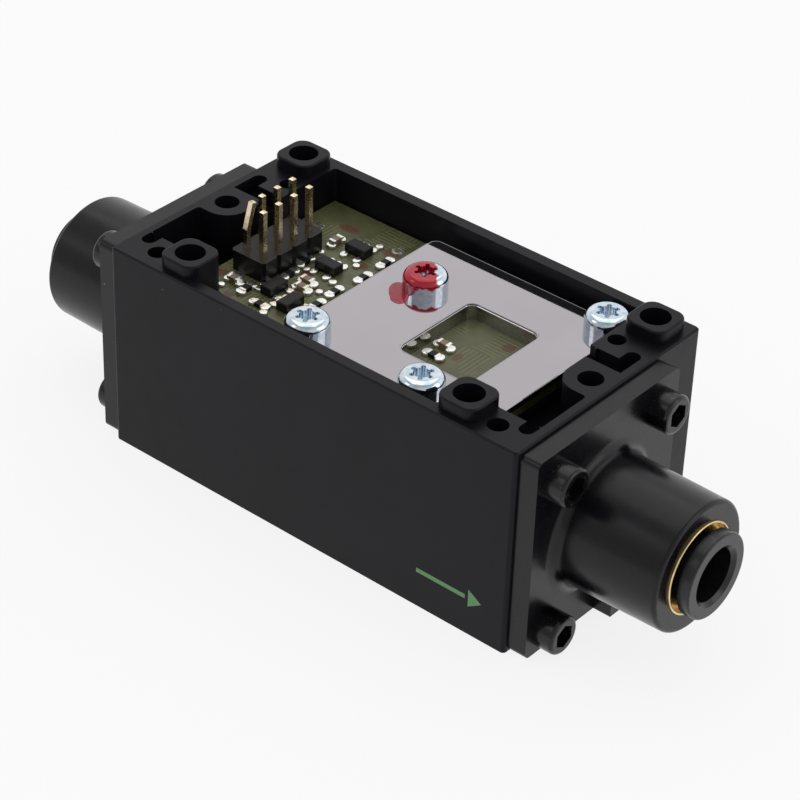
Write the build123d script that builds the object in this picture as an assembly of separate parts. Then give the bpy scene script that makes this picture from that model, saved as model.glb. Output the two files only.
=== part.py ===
from build123d import *
import os
from math import cos, pi, sin

# Gas mass flow meter: a moulded body with an open tray, a push-in tube port at each end,
# and a sensor board held down in the tray by a screwed steel plate.
# All sizes are millimetres. The origin is the middle of the body's underside.
# +X runs with the flow towards the outlet, -Y is the front face, +Z is up out of the tray.

# Lengthwise, in order from the body's inlet end to its outlet end
inlet_end_room = 7.0
parts_strip = 16.2
plate_inlet_margin = 11.4
window_length = 9.7
plate_outlet_margin = 6.1
outlet_end_room = 7.6

# Crosswise, in order from the body's front face to its back face
front_wall = 1.5
plate_front_gap = 0.4
plate_front_margin = 7.2
window_width = 12.4
plate_back_margin = 7.5
plate_back_gap = 1.35
back_wall = 1.65

# Upwards: the passage's axis, the material over the passage, and the tray
bore_height = 13.0
bore_roof = 2.9
tray_depth = 5.8

# Body
body_corner_radius = 0.5
rim_chamfer = 0.2
end_wall = 1.1
pocket_step = 0.8
shallow_depth = 2.0
tray_corner_radius = 0.45

# Raised corner bosses with the mounting holes, measured in from the body's outer faces
boss_size = 5.3
boss_corner_radius = 1.5
boss_rise = 1.6
boss_edge_round = 0.25
mounting_hole_diameter = 3.5
front_boss_inset_x = 9.1
front_boss_inset_y = 3.4
back_boss_inset_x = 3.5
back_boss_inset_y = 3.7

# Lands beside the bosses, and the small holes in them
front_land_inset_y = 5.3
back_land_width = 6.7
back_land_reach = 10.9
locating_hole_diameter = 2.4
locating_hole_inset_x = 4.7
locating_hole_inset_y = 2.8
keeper_hole_diameter = 2.1
keeper_hole_inset_x = 5.2
keeper_hole_inset_y = 8.2
relief_width = 1.8
relief_end_front = 3.3
relief_end_back = 8.8

# Bosses in the middle of each end, for the screws of a lid
lid_boss_radius = 2.95
lid_boss_inset = 2.8
lid_hole_diameter = 2.9
lid_hole_depth = 6.0
lid_boss_gap = 2.15

# Flow passage, placed in from the window's front edge and its inlet edge
bore_inset_y = 2.9
bore_radius = 4.5
spigot_seat_radius = 5.4
spigot_seat_depth = 5.4
tap_radius = 0.6
tap_spacing = 13.0
tap_inset_x = 2.4
radial_clearance = 0.05

# Port fittings
flange_thickness = 2.4
flange_width = 24.4
flange_offset_y = 0.8
flange_foot = 0.1
flange_drop = 0.5
flange_corner_radius = 0.8
flange_lug_front = 3.4
flange_lug_back = 2.4
flange_lug_reach = 2.3
flange_lug_top = 3.0
barrel_length = 13.0
barrel_root_radius = 7.85
barrel_end_radius = 7.65
barrel_root_fillet = 1.3
barrel_edge_round = 0.5
spigot_length = 5.2
spigot_radius = 5.3
port_seal_groove_width = 2.2
port_seal_groove_depth = 1.3
port_passage_radius = 2.25
tube_socket_radius = 3.1
tube_stop_length = 3.2
seal_seat_radius = 4.85
cartridge_depth = 7.15
cartridge_radius = 5.4

# Push-in cartridge: brass sleeve, grip ring, tube seal and release collet
sleeve_stand = 0.25
sleeve_mouth_radius = 5.1
sleeve_mouth_depth = 1.45
sleeve_guide_length = 1.7
collet_neck_radius = 4.25
collet_bore_radius = 3.15
collet_flange_radius = 5.0
collet_flange_thickness = 1.4
collet_gap = 0.9
collet_bead_radius = 4.7
collet_bead_length = 0.8
collet_nose_length = 1.9
collet_slot_width = 0.6
collet_slot_count = 4
grip_ring_thickness = 0.4
grip_ring_tooth_radius = 3.15
grip_ring_tooth_count = 8
tube_seal_section = 0.9
grip_tooth_lean = 0.7
grip_tooth_room = 0.51
seal_clearance = 0.02

# Pan head screws of the clamp plate, with a six-lobe recess; shanks are at the thread's core
screw_core_radius = 1.25
screw_hole_clearance = 0.02
screw_head_side = 1.3
recess_root_radius = 0.95
recess_lobe_radius = 0.28
recess_lobe_middle = 1.12
recess_depth = 1.1
plate_screw_head_diameter = 5.2
plate_screw_head_height = 2.2
plate_screw_length = 8.0
clearance_hole_radius = 1.6

# Socket head screws of the port flanges
cap_screw_core_radius = 1.05
cap_screw_hole_radius = 1.4
cap_screw_head_diameter = 4.6
cap_screw_head_height = 2.5
cap_screw_head_round = 0.45
cap_screw_socket_radius = 1.45
cap_screw_socket_depth = 1.4
cap_screw_length = 8.0
cap_screw_inset_y = 3.35
cap_screw_inset_foot = 2.65
cap_screw_inset_top = 3.55

# Laminar flow element and the screens and spacers round it
element_length = 9.0
element_channel_radius = 0.55
element_channel_pitch = 1.6
screen_thickness = 0.4
screen_hole = 0.9
screen_pitch = 1.3
spacer_wall = 0.75

# Circuit board
board_thickness = 1.6
board_setback = 1.5
board_gap = 0.3

# Clamp plate, and the frame under it
frame_thickness = 1.4
frame_setback = 1.0
plate_thickness = 0.6
plate_corner_radius = 1.0
plate_ear_radius = 2.4
window_corner_radius = 1.0
window_bevel = 0.2

# Clamp screws: one beside the window, two along the plate's front edge, one in its ear
side_screw_inset_x = 5.7
side_screw_inset_y = 1.1
front_screw_inset_x = 2.15
front_screw_inset_y = 2.8
ear_screw_inset_x = 1.7
ear_screw_inset_y = 1.3

# Sensor chip under the board, inside its gasket
chip_length = 5.0
chip_width = 3.0
chip_thickness = 0.7
gasket_length = 17.0
gasket_width = 6.0
gasket_thickness = 1.0
gasket_wall = 1.2

# Pin header
pin_pitch = 2.54
pin_columns = 4
pin_width = 0.64
pin_tail = 1.6
pin_rise = 5.96
pin_chamfer = 0.15
bent_pin_rise = 3.4
bent_pin_angle = 17.0
header_inset_x = 3.75
header_height = 2.54
header_notch = 0.35
header_relief = 1.0
header_relief_depth = 1.7

# Small parts on the board: x from the board's inlet end, y, and the turn about +Z in degrees
package_size = (2.9, 1.6, 1.1)
package_stand = 0.1
package_lead = (0.45, 0.7, 0.15)
package_spots = [(9.8, 7.1, 0), (9.7, 2.0, 0), (8.1, -5.4, 90), (11.6, -6.6, 90)]
capacitor_size = (1.6, 0.85, 0.8)
window_x = parts_strip + plate_inlet_margin
capacitor_spots = [
    (6.5, 6.9, 90),
    (9.8, -1.7, 0),
    (10.3, -3.2, 0),
    (3.6, -7.1, 0),
    (window_x + 1.8, -1.2, 0),
]
resistor_size = (1.6, 0.85, 0.5)
resistor_spots = [
    (6.7, 1.3, 90),
    (13.6, 7.3, 90),
    (13.8, 3.2, 90),
    (13.4, -1.2, 90),
    (13.7, -4.6, 90),
    (7.2, -1.9, 90),
    (5.7, -7.4, 90),
    (9.0, -8.8, 0),
    (window_x + 2.0, -3.3, 0),
]
cap_length = 0.35

# Levels and places that follow from the sizes above
plate_length = plate_inlet_margin + window_length + plate_outlet_margin
body_length = inlet_end_room + parts_strip + plate_length + outlet_end_room
plate_width = plate_front_margin + window_width + plate_back_margin
body_width = front_wall + plate_front_gap + plate_width + plate_back_gap + back_wall
board_seat_height = bore_height + bore_radius + bore_roof
rim_height = board_seat_height + tray_depth
half_x = body_length / 2
half_y = body_width / 2
wall_x = half_x - end_wall
wall_front = -half_y + front_wall
wall_back = half_y - back_wall
board_left = -half_x + inlet_end_room
plate_left = board_left + parts_strip
window_left = plate_left + plate_inlet_margin
window_right = window_left + window_length
plate_right = window_right + plate_outlet_margin
board_right = plate_right - board_setback
plate_front = wall_front + plate_front_gap
window_front = plate_front + plate_front_margin
window_back = window_front + window_width
plate_back = window_back + plate_back_margin
bore_offset_y = window_front + bore_inset_y
tap_middle_x = window_left + tap_inset_x
flange_middle_y = bore_offset_y + flange_offset_y
header_x = board_left + header_inset_x
header_y = (wall_front + wall_back) / 2
screw_spots = [
    (window_left - side_screw_inset_x, window_back - side_screw_inset_y),
    (plate_left + front_screw_inset_x, plate_front + front_screw_inset_y),
    (window_right - front_screw_inset_y, plate_front + front_screw_inset_y),
    (plate_right - ear_screw_inset_x, plate_back - ear_screw_inset_y),
]
pocket_floor = board_seat_height - pocket_step
shallow_floor = rim_height - shallow_depth
board_top = board_seat_height + board_thickness
frame_top = board_top + frame_thickness
plate_top = frame_top + plate_thickness
flange_top = rim_height - flange_drop
flange_face = half_x + flange_thickness
seal_seat_length = grip_tooth_lean + grip_tooth_room + 2 * (tube_seal_section + seal_clearance)
seal_seat_depth = cartridge_depth + seal_seat_length
tube_stop_depth = seal_seat_depth + tube_stop_length
barrel_end = flange_face + barrel_length
sleeve_mouth = barrel_end + sleeve_stand
cartridge_floor = barrel_end - cartridge_depth
sleeve_foot = cartridge_floor + grip_ring_thickness
bore_axis = Pos(0, bore_offset_y, bore_height)
front_boss = (half_x - front_boss_inset_x, -half_y + front_boss_inset_y)
back_boss = (half_x - back_boss_inset_x, half_y - back_boss_inset_y)
lid_boss_x = half_x - lid_boss_inset
land_front = -half_y + front_land_inset_y
land_back = half_y - back_land_reach
ledge_left = board_left - board_gap
ledge_right = board_right + 2 * board_gap


def slab(x0, x1, y0, y1):
    """Flat rectangle between two x values and two y values."""
    return Pos((x0 + x1) / 2, (y0 + y1) / 2) * Rectangle(x1 - x0, y1 - y0)


def block(x0, x1, y0, y1, z0, z1):
    """Box between two corners."""
    return extrude(Pos(0, 0, z0) * slab(x0, x1, y0, y1), z1 - z0)


def both_ends(shape):
    """A shape at the outlet end with its mirror image at the inlet end."""
    return shape + mirror(shape, about=Plane.YZ)


def turned(points):
    """Solid of revolution about the X axis from (distance along the axis, radius) points."""
    return revolve(make_face(Polyline(*points, close=True)), Axis.X, 360)


def circle_edges(part, x, radius):
    """The circular edges of a turned part at one distance and radius."""
    near = 0.01
    rings = part.edges().filter_by(GeomType.CIRCLE)
    return [e for e in rings if abs(e.arc_center.X - x) < near and abs(e.radius - radius) < near]


def boss_outline(middle):
    """Rounded square round a mounting hole."""
    return Pos(*middle) * RectangleRounded(boss_size, boss_size, boss_corner_radius)


def outlet_lands():
    """Outline of what stands at full height inside the tray at the outlet end."""
    front = boss_outline(front_boss) + slab(front_boss[0], half_x, -half_y, land_front)
    back = slab(half_x - back_land_width, half_x, land_back, half_y)
    lid_boss = Pos(lid_boss_x, 0) * Circle(lid_boss_radius)
    lid_boss += slab(lid_boss_x, half_x, -lid_boss_radius, lid_boss_radius)
    shelf = slab(lid_boss_x - lid_boss_radius, half_x, 0, land_back)
    return front + back + lid_boss + shelf


def outlet_shallows():
    """Outline of the shallow reliefs at the outlet end, between the lands."""
    relief_x = wall_x - relief_width / 2
    front_end = -half_y + relief_end_front
    back_end = half_y - relief_end_back
    half = relief_width / 2
    front = slab(wall_x - relief_width, wall_x, front_end + half, land_front)
    front += Pos(relief_x, front_end + half) * Circle(half)
    gap = slab(lid_boss_x - lid_boss_radius, wall_x, lid_boss_radius, land_back)
    back = slab(wall_x - relief_width, wall_x, land_back - half, back_end - half)
    back += Pos(relief_x, back_end - half) * Circle(half)
    return front + gap + back


def flange_screw_spots():
    """The four screws of a port flange, as (y, z)."""
    reach = flange_width / 2 - cap_screw_inset_y
    low = flange_foot + cap_screw_inset_foot
    high = flange_top - cap_screw_inset_top
    return [(flange_middle_y + side * reach, z) for side in (-1, 1) for z in (low, high)]


def rod(x0, x1, radius):
    """Plain cylinder along X on the flow passage's axis."""
    return bore_axis * turned([(x0, 0), (x1, 0), (x1, radius), (x0, radius)])


def upright(x, y, z0, z1, radius):
    """Plain cylinder along Z."""
    return Pos(x, y, z0) * extrude(Circle(radius), z1 - z0)


def body_shell():
    """Moulded block with the tray, its pockets and the raised bosses, before the holes."""
    body = block(-half_x, half_x, -half_y, half_y, 0, rim_height)
    body = fillet(body.edges().filter_by(Axis.Z), body_corner_radius)
    body = chamfer(body.faces().sort_by(Axis.Z)[-1].edges(), rim_chamfer)
    tray = slab(-wall_x, wall_x, wall_front, wall_back) - both_ends(outlet_lands())
    tray = offset(tray, -tray_corner_radius, kind=Kind.ARC)
    tray = offset(tray, tray_corner_radius, kind=Kind.ARC)
    over_rim = rim_height - board_seat_height + boss_rise
    body -= extrude(Pos(0, 0, board_seat_height) * tray, over_rim)
    ends = tray - slab(ledge_left, ledge_right, -half_y, half_y)
    body -= extrude(Pos(0, 0, pocket_floor) * ends, pocket_step)
    body -= extrude(Pos(0, 0, shallow_floor) * both_ends(outlet_shallows()), shallow_depth)
    bosses = both_ends(boss_outline(front_boss) + boss_outline(back_boss))
    raised = extrude(Pos(0, 0, rim_height) * bosses, boss_rise)
    tops = raised.faces().filter_by(Axis.Z).filter_by_position(
        Axis.Z, rim_height + boss_rise / 2, rim_height + 2 * boss_rise
    )
    return body + fillet(tops.edges(), boss_edge_round)


def passage():
    """Main bore, seats for the port spigots, and the two taps up to the sensor."""
    cut = rod(-half_x, half_x, bore_radius)
    seat = rod(half_x - spigot_seat_depth, half_x, spigot_seat_radius)
    cut += both_ends(seat)
    for side in (-1, 1):
        cut += tap(side)
    return cut


def tap(side):
    """One upright hole from the sensor's gasket down to the main bore."""
    x = tap_middle_x + side * tap_spacing / 2
    return upright(x, bore_offset_y, bore_height, board_seat_height, tap_radius)


def body_screw_holes():
    """Core holes for the flange screws and the plate screws."""
    radius = cap_screw_core_radius + screw_hole_clearance
    depth = cap_screw_length - flange_thickness
    holes = None
    for y, z in flange_screw_spots():
        hole = Pos(0, y, z) * turned(
            [(half_x - depth, 0), (half_x, 0), (half_x, radius), (half_x - depth, radius)]
        )
        holes = both_ends(hole) if holes is None else holes + both_ends(hole)
    radius = screw_core_radius + screw_hole_clearance
    foot = plate_top - plate_screw_length
    for x, y in screw_spots:
        holes += upright(x, y, foot, board_seat_height, radius)
    return holes


def lid_and_mounting_holes():
    """Through holes in the raised bosses, and the blind holes for a lid."""
    top = rim_height + boss_rise
    holes = None
    for x, y in (front_boss, back_boss):
        hole = both_ends(upright(x, y, 0, top, mounting_hole_diameter / 2))
        holes = hole if holes is None else holes + hole
    depth = rim_height - lid_hole_depth
    holes += both_ends(upright(lid_boss_x, 0, depth, rim_height, lid_hole_diameter / 2))
    x = half_x - locating_hole_inset_x
    y = -half_y + locating_hole_inset_y
    holes += both_ends(upright(x, y, shallow_floor, rim_height, locating_hole_diameter / 2))
    x = half_x - keeper_hole_inset_x
    y = half_y - keeper_hole_inset_y
    holes += both_ends(upright(x, y, shallow_floor, rim_height, keeper_hole_diameter / 2))
    return holes


def seat_recesses():
    """Recess for the sensor's gasket, and the relief under the pin header."""
    gasket = Pos(tap_middle_x, bore_offset_y, board_seat_height - gasket_thickness)
    recess = gasket * extrude(SlotOverall(gasket_length, gasket_width), gasket_thickness)
    reach_x = pin_pitch / 2 + header_relief
    reach_y = pin_pitch * (pin_columns - 1) / 2 + header_relief
    relief = block(
        header_x - reach_x,
        header_x + reach_x,
        header_y - reach_y,
        header_y + reach_y,
        board_seat_height - header_relief_depth,
        board_seat_height,
    )
    return recess + relief


def housing():
    return body_shell() - passage() - body_screw_holes() - lid_and_mounting_holes() - seat_recesses()


def port():
    """Outlet fitting: flange, barrel with its cartridge bore, and spigot with a seal groove."""
    groove_end = half_x - (spigot_length - port_seal_groove_width) / 2
    groove_start = groove_end - port_seal_groove_width
    groove_radius = spigot_radius - port_seal_groove_depth
    spigot_end = half_x - spigot_length
    collar = barrel_root_radius + barrel_root_fillet
    spigot = Polyline(
        (spigot_end, port_passage_radius),
        (spigot_end, spigot_radius),
        (groove_start, spigot_radius),
        (groove_start, groove_radius),
        (groove_end, groove_radius),
        (groove_end, spigot_radius),
        (half_x, spigot_radius),
        (half_x, collar),
        (flange_face, collar),
    )
    bend = barrel_root_fillet * (1 - 0.5**0.5)
    root = ThreePointArc(
        (flange_face, collar),
        (flange_face + bend, barrel_root_radius + bend),
        (flange_face + barrel_root_fillet, barrel_root_radius),
    )
    inner = Polyline(
        (flange_face + barrel_root_fillet, barrel_root_radius),
        (barrel_end, barrel_end_radius),
        (barrel_end, cartridge_radius),
        (cartridge_floor, cartridge_radius),
        (cartridge_floor, seal_seat_radius),
        (barrel_end - seal_seat_depth, seal_seat_radius),
        (barrel_end - seal_seat_depth, tube_socket_radius),
        (barrel_end - tube_stop_depth, tube_socket_radius),
        (barrel_end - tube_stop_depth, port_passage_radius),
        (spigot_end, port_passage_radius),
    )
    barrel = revolve(make_face(spigot + root + inner), Axis.X, 360)
    barrel = fillet(circle_edges(barrel, barrel_end, barrel_end_radius), barrel_edge_round)
    flange_height = flange_top - flange_foot
    sketch = Plane.YZ * RectangleRounded(flange_width, flange_height, flange_corner_radius)
    middle_z = (flange_top + flange_foot) / 2
    flange = Pos(half_x, flange_middle_y, middle_z) * extrude(sketch, flange_thickness)
    lug_end = flange_face + flange_lug_reach
    lug = (-flange_lug_front, flange_lug_back, flange_foot, flange_lug_top)
    flange += block(half_x, lug_end, *lug)
    flange -= rod(half_x, flange_face, collar)
    for y, z in flange_screw_spots():
        hole = turned(
            [
                (half_x, 0),
                (flange_face, 0),
                (flange_face, cap_screw_hole_radius),
                (half_x, cap_screw_hole_radius),
            ]
        )
        flange -= Pos(0, y, z) * hole
    return flange + bore_axis * barrel


def ring_seal(x, middle_radius, section):
    """O-ring on the flow passage's axis."""
    return bore_axis * Pos(x, 0, 0) * Rot(0, 90, 0) * Torus(middle_radius, section)


def port_seal():
    """O-ring that fills the spigot's groove up to its seat in the body."""
    groove_radius = spigot_radius - port_seal_groove_depth
    section = (spigot_seat_radius - groove_radius) / 2 - seal_clearance
    return ring_seal(half_x - spigot_length / 2, (spigot_seat_radius + groove_radius) / 2, section)


def tube_seal():
    """O-ring that seals on the tube, at the bottom of its seat behind the grip ring."""
    room = tube_seal_section + seal_clearance
    return ring_seal(barrel_end - seal_seat_depth + room, seal_seat_radius - room, tube_seal_section)


def brass_sleeve():
    """Turned sleeve pressed into the barrel; its inner step keeps the collet in."""
    outer = cartridge_radius
    guide = collet_neck_radius + radial_clearance
    inner = collet_bead_radius + radial_clearance
    step = sleeve_mouth - sleeve_mouth_depth
    lip = (outer - sleeve_mouth_radius) / 2
    rim = sleeve_mouth - lip
    lip_arc = ThreePointArc((rim, outer), (sleeve_mouth, outer - lip), (rim, sleeve_mouth_radius))
    profile = Polyline(
        (rim, sleeve_mouth_radius),
        (step, sleeve_mouth_radius),
        (step, guide),
        (step - sleeve_guide_length, guide),
        (step - sleeve_guide_length, inner),
        (sleeve_foot, inner),
        (sleeve_foot, outer),
        (rim, outer),
    )
    return bore_axis * revolve(make_face(lip_arc + profile), Axis.X, 360)


def grip_ring():
    """Spring steel ring clamped behind the sleeve; its teeth lean the way the tube goes in."""
    rim = seal_seat_radius - radial_clearance
    outer = cartridge_radius - radial_clearance
    ring = turned(
        [
            (cartridge_floor, rim),
            (cartridge_floor, outer),
            (sleeve_foot, outer),
            (sleeve_foot, rim),
            (sleeve_foot - grip_tooth_lean, grip_ring_tooth_radius),
            (cartridge_floor - grip_tooth_lean, grip_ring_tooth_radius),
        ]
    )
    half = collet_slot_width / 2
    slot = block(cartridge_floor - grip_tooth_lean, sleeve_foot, 0, rim, -half, half)
    for k in range(grip_ring_tooth_count):
        ring -= Rot(360 * k / grip_ring_tooth_count, 0, 0) * slot
    return bore_axis * ring


def release_collet():
    """Collet that is pushed in to let go of the tube, with a split snap-in nose."""
    back = barrel_end + collet_gap
    face = back + collet_flange_thickness
    step = sleeve_mouth - sleeve_mouth_depth - sleeve_guide_length
    bead_front = step - radial_clearance
    bead_back = bead_front - collet_bead_length
    nose = bead_back - collet_nose_length
    lead = (collet_flange_radius - collet_bore_radius) / 4
    collet = turned(
        [
            (nose, collet_bore_radius),
            (nose, (collet_bore_radius + collet_neck_radius) / 2),
            (bead_back, collet_bead_radius),
            (bead_front, collet_bead_radius),
            (bead_front, collet_neck_radius),
            (back, collet_neck_radius),
            (back, collet_flange_radius),
            (face, collet_flange_radius),
            (face, collet_bore_radius + lead),
            (face - lead, collet_bore_radius),
        ]
    )
    collet = fillet(circle_edges(collet, face, collet_flange_radius), lead / 2)
    slot = block(
        nose,
        bead_front + sleeve_guide_length / 2,
        -collet_flange_radius,
        collet_flange_radius,
        -collet_slot_width / 2,
        collet_slot_width / 2,
    )
    for k in range(collet_slot_count // 2):
        collet -= Rot(360 * k / collet_slot_count, 0, 0) * slot
    return bore_axis * collet


def cap_screw():
    """Socket head screw along Z with its seat at the origin and its head up."""
    head = extrude(Circle(cap_screw_head_diameter / 2), cap_screw_head_height)
    top = head.faces().sort_by(Axis.Z)[-1]
    head = fillet(top.edges(), cap_screw_head_round)
    shank = Pos(0, 0, -cap_screw_length) * extrude(Circle(cap_screw_core_radius), cap_screw_length)
    shank = chamfer(shank.faces().sort_by(Axis.Z)[0].edges(), cap_screw_core_radius / 2)
    socket = extrude(RegularPolygon(cap_screw_socket_radius, 6), cap_screw_socket_depth)
    return head + shank - Pos(0, 0, cap_screw_head_height - cap_screw_socket_depth) * socket


def pan_screw(head_diameter, head_height, length):
    """Pan head screw along Z with its seat at the origin and its head up."""
    radius = head_diameter / 2
    crown = radius * 0.62
    tip = screw_core_radius / 2
    arc_middle = (radius - (radius - crown) * 0.3, screw_head_side + (head_height - screw_head_side) * 0.7)
    outline = Polyline(
        (0, head_height),
        (0, -length),
        (tip, -length),
        (screw_core_radius, tip - length),
        (screw_core_radius, 0),
        (radius, 0),
        (radius, screw_head_side),
    )
    dome = ThreePointArc((radius, screw_head_side), arc_middle, (crown, head_height))
    top = Line((crown, head_height), (0, head_height))
    face = make_face(Plane.XZ * (outline + dome + top))
    screw = revolve(face, Axis.Z, 360)
    recess = Circle(recess_root_radius)
    for k in range(6):
        angle = k * pi / 3
        lobe = Pos(recess_lobe_middle * cos(angle), recess_lobe_middle * sin(angle))
        recess += lobe * Circle(recess_lobe_radius)
    return screw - extrude(Pos(0, 0, head_height - recess_depth) * recess, recess_depth)


def flange_screws():
    """The four screws of the outlet flange, heads on the flange's face."""
    screw = cap_screw()
    return [Pos(flange_face, y, z) * Rot(0, 90, 0) * screw for y, z in flange_screw_spots()]


def plate_screws():
    """The four screws that clamp the plate, the frame and the board to the body."""
    screw = pan_screw(plate_screw_head_diameter, plate_screw_head_height, plate_screw_length)
    return [Pos(x, y, plate_top) * screw for x, y in screw_spots]


def channel_spots():
    """Middles of the flow element's channels, on a triangular grid inside its rim."""
    rim = bore_radius - radial_clearance - element_channel_radius - radial_clearance
    rows = int(rim / element_channel_pitch) + 1
    spots = []
    for i in range(-rows, rows + 1):
        for j in range(-rows, rows + 1):
            y = element_channel_pitch * (i + j / 2)
            z = element_channel_pitch * j * sin(pi / 3)
            if (y * y + z * z) ** 0.5 <= rim:
                spots.append((y, z))
    return spots


def flow_element():
    """Plug with straight narrow channels that keeps the flow laminar."""
    left = tap_middle_x - element_length / 2
    right = left + element_length
    element = rod(left, right, bore_radius - radial_clearance)
    for y, z in channel_spots():
        element -= Pos(0, y, z) * rod(left, right, element_channel_radius)
    return element


def screen(side):
    """Square-mesh screen against one face of the flow element."""
    radius = bore_radius - radial_clearance
    near = tap_middle_x + side * element_length / 2
    low = min(near, near + side * screen_thickness)
    disc = rod(low, low + screen_thickness, radius)
    reach = int(radius / screen_pitch)
    for i in range(-reach, reach + 1):
        for j in range(-reach, reach + 1):
            y = i * screen_pitch
            z = j * screen_pitch
            if (y * y + z * z) ** 0.5 + screen_hole * 0.8 < radius:
                half = screen_hole / 2
                hole = block(low, low + screen_thickness, y - half, y + half, z - half, z + half)
                disc -= bore_axis * hole
    return disc


def spacer(side):
    """Tube from a port's spigot to the screen, with a hole for the tap."""
    near = tap_middle_x + side * (element_length / 2 + screen_thickness)
    far = side * (half_x - spigot_length)
    low, high = min(near, far), max(near, far)
    radius = bore_radius - radial_clearance
    tube = rod(low, high, radius) - rod(low, high, radius - spacer_wall)
    return tube - tap(side)


def clamp_outline(setback):
    """Outline of the clamp plate, clear of the front bosses, with an ear for the back screw."""
    outline = slab(
        plate_left + setback,
        plate_right - setback,
        plate_front + setback,
        plate_back - setback,
    )
    outline = fillet(outline.vertices(), plate_corner_radius)
    outline += Pos(*screw_spots[-1]) * Circle(plate_ear_radius - setback)
    return outline - boss_clearance() - land_clearance()


def boss_clearance():
    """Room round the two front bosses for what lies in the tray."""
    size = boss_size + 2 * board_gap
    notch = Pos(*front_boss) * RectangleRounded(size, size, boss_corner_radius)
    notch += slab(front_boss[0] - size / 2, half_x, -half_y, front_boss[1])
    return both_ends(notch)


def land_clearance():
    """Room beside the back lands for what lies in the tray."""
    inner = half_x - back_land_width - board_gap / 2
    return both_ends(slab(inner, half_x, land_back - board_gap, half_y))


def screw_clearances():
    """Circles where the plate screws pass through."""
    holes = Pos(*screw_spots[0]) * Circle(clearance_hole_radius)
    for spot in screw_spots[1:]:
        holes += Pos(*spot) * Circle(clearance_hole_radius)
    return holes


def window():
    """Opening over the part of the board above the sensor."""
    opening = slab(window_left, window_right, window_front, window_back)
    return fillet(opening.vertices(), window_corner_radius)


def clamp_plate():
    """Bright steel plate with a window whose edge is bevelled."""
    sketch = clamp_outline(0) - screw_clearances() - window()
    plate = extrude(Pos(0, 0, frame_top) * sketch, plate_thickness)
    top = plate.faces().sort_by(Axis.Z)[-1]
    rim = [e for e in top.edges() if inside_window(e.center())]
    return chamfer(rim, window_bevel)


def inside_window(point):
    """Whether a point lies on the window's edge."""
    in_x = window_left - window_bevel < point.X < window_right + window_bevel
    in_y = window_front - window_bevel < point.Y < window_back + window_bevel
    return in_x and in_y


def spacer_frame():
    """Insulating frame between the board and the clamp plate."""
    sketch = clamp_outline(frame_setback) - screw_clearances() - window()
    return extrude(Pos(0, 0, board_top) * sketch, frame_thickness)


def pin_spots():
    """The header's pins as (x, y), the outer row first."""
    start = header_y - pin_pitch * (pin_columns - 1) / 2
    return [
        (header_x + row * pin_pitch / 2, start + k * pin_pitch)
        for row in (-1, 1)
        for k in range(pin_columns)
    ]


def circuit_board():
    """Board that fills the tray, drilled for the clamp screws and the header."""
    outline = slab(board_left, board_right, wall_front + board_gap, wall_back - board_gap)
    outline += Pos(*screw_spots[-1]) * Circle(plate_ear_radius)
    outline -= boss_clearance() + land_clearance() + screw_clearances()
    hole = pin_width / 2 * 2**0.5 + radial_clearance
    for x, y in pin_spots():
        outline -= Pos(x, y) * Circle(hole)
    return extrude(Pos(0, 0, board_seat_height) * outline, board_thickness)


def header_body():
    """Insulator of the pin header, notched between its positions."""
    length = pin_pitch * pin_columns
    depth = 2 * pin_pitch
    outline = Pos(header_x, header_y) * Rectangle(depth, length)
    notch = Rot(0, 0, 45) * Rectangle(header_notch * 2**0.5, header_notch * 2**0.5)
    for k in range(pin_columns + 1):
        y = header_y - length / 2 + k * pin_pitch
        for side in (-1, 1):
            outline -= Pos(header_x + side * depth / 2, y) * notch
    width = pin_width + screw_hole_clearance
    for x, y in pin_spots():
        outline -= Pos(x, y) * Rectangle(width, width)
    return extrude(Pos(0, 0, board_top) * outline, header_height)


def header_pin(height):
    """Square pin with chamfered ends, standing on its tail's end at the origin."""
    pin = extrude(Rectangle(pin_width, pin_width), height)
    return chamfer(pin.faces().sort_by(Axis.Z)[-1].edges(), pin_chamfer)


def header_pins():
    """Pins of the header; the first of the outer row is bent towards its neighbour."""
    foot = board_seat_height - pin_tail
    height = board_thickness + pin_tail + header_height + pin_rise
    pins = [Pos(x, y, foot) * header_pin(height) for x, y in pin_spots()]
    x, y = pin_spots()[0]
    straight = height - bent_pin_rise
    shaft = extrude(Rectangle(pin_width, pin_width), straight)
    bent = Pos(0, 0, straight) * Rot(-bent_pin_angle, 0, 0) * header_pin(bent_pin_rise)
    knee = Pos(0, 0, straight) * Rot(0, 90, 0) * Cylinder(pin_width / 2, pin_width)
    pins[0] = Pos(x, y, foot) * (shaft + bent + knee)
    return pins


def sensor_chip():
    """Flow sensor die on the board's underside."""
    x0 = tap_middle_x - chip_length / 2
    y0 = bore_offset_y - chip_width / 2
    z0 = board_seat_height - chip_thickness
    return block(x0, x0 + chip_length, y0, y0 + chip_width, z0, board_seat_height)


def sensor_gasket():
    """Oblong gasket round the chip and both taps."""
    outer = SlotOverall(gasket_length, gasket_width)
    inner = SlotOverall(gasket_length - 2 * gasket_wall, gasket_width - 2 * gasket_wall)
    ring = extrude(outer - inner, gasket_thickness)
    return Pos(tap_middle_x, bore_offset_y, board_seat_height - gasket_thickness) * ring


def on_board(spot, shape):
    """Places a small part, drawn on its own axes, on top of the board."""
    x, y, turn = spot
    return Pos(board_left + x, y, board_top) * Rot(0, 0, turn) * shape


def brick(length, width, height, x=0.0, y=0.0, z=0.0):
    """Box standing on z, with its middle at x and y."""
    return Pos(x, y, z) * extrude(Rectangle(length, width), height)


def package_bodies():
    """Moulded bodies of the small transistor and amplifier packages."""
    length, width, height = package_size
    body = brick(length, width, height, z=package_stand)
    body = chamfer(body.faces().sort_by(Axis.Z)[-1].edges(), package_stand)
    return [on_board(spot, body) for spot in package_spots]


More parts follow.
